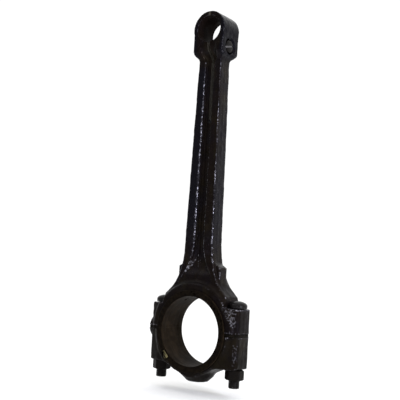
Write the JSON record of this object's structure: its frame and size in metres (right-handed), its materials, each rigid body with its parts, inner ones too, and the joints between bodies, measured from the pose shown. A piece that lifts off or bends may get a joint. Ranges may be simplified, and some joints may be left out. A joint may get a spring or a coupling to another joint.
{
  "type": "connecting rod",
  "caption": "I-beam engine connecting rod with a bolted, babbitt-lined split big end and a sawn small end clamped by a pinch screw.",
  "frame": {"origin": "centre of the crankpin bore, midway through the big end and on the joint between rod and cap", "axes": "+Z from the crankpin towards the wrist pin, Y along both bores, X across the rod with the pinch screw's head on the +X side"},
  "size_m": [0.0937, 0.031, 0.3261],
  "materials": {
    "rod_forging": "dark oily forged steel, fine scale, edges worn bright",
    "cap_forging": "dark oily forged steel, fine scale, edges worn bright",
    "babbitt": "smooth bored white metal, stained brown by oil",
    "shim_brass": "thin rolled brass, tarnished",
    "bolt_steel": "black oiled steel, worn at the edges",
    "nut_steel": "black oiled steel, worn at the corners",
    "screw_steel": "oiled steel, bright at the slot"
  },
  "bodies": {
    "rod": {"rod_body": "rod_forging", "upper_bearing_lining": "babbitt", "left_big_end_bolt": "bolt_steel", "right_big_end_bolt": "bolt_steel"},
    "cap": {"bearing_cap": "cap_forging", "lower_bearing_lining": "babbitt", "left_upper_shim": "shim_brass", "left_lower_shim": "shim_brass", "right_upper_shim": "shim_brass", "right_lower_shim": "shim_brass"},
    "left_nut": {"left_big_end_nut": "nut_steel"},
    "right_nut": {"right_big_end_nut": "nut_steel"},
    "lock_washer": {"pinch_lock_washer": "screw_steel"},
    "screw": {"pinch_screw": "screw_steel"}
  },
  "joints": [
    {"name": "cap_slide", "type": "slide", "parent": "rod", "child": "cap", "axis": [0, 0, -1], "range_m": [0, 0.0155]},
    {"name": "left_nut_turn", "type": "hinge", "parent": "cap", "child": "left_nut", "pos_m": [-0.0384, 0, -0.03285], "axis": [0, 0, -1], "range_deg": [0, 5280]},
    {"name": "right_nut_turn", "type": "hinge", "parent": "cap", "child": "right_nut", "pos_m": [0.0384, 0, -0.03285], "axis": [0, 0, -1], "range_deg": [0, 5280]},
    {"name": "washer_slide", "type": "slide", "parent": "rod", "child": "lock_washer", "axis": [1, 0, 0], "range_m": [0, 0.013]},
    {"name": "pinch_screw_turn", "type": "hinge", "parent": "lock_washer", "child": "screw", "pos_m": [0.012, 0, 0.2512], "axis": [1, 0, 0], "range_deg": [0, 4430]}
  ],
  "couplings": [
    {"joint": "left_nut_turn", "follows": "cap_slide", "rad_per_m": 5936.9},
    {"joint": "right_nut_turn", "follows": "cap_slide", "rad_per_m": 5936.9},
    {"joint": "pinch_screw_turn", "follows": "washer_slide", "rad_per_m": 5936.9}
  ]
}
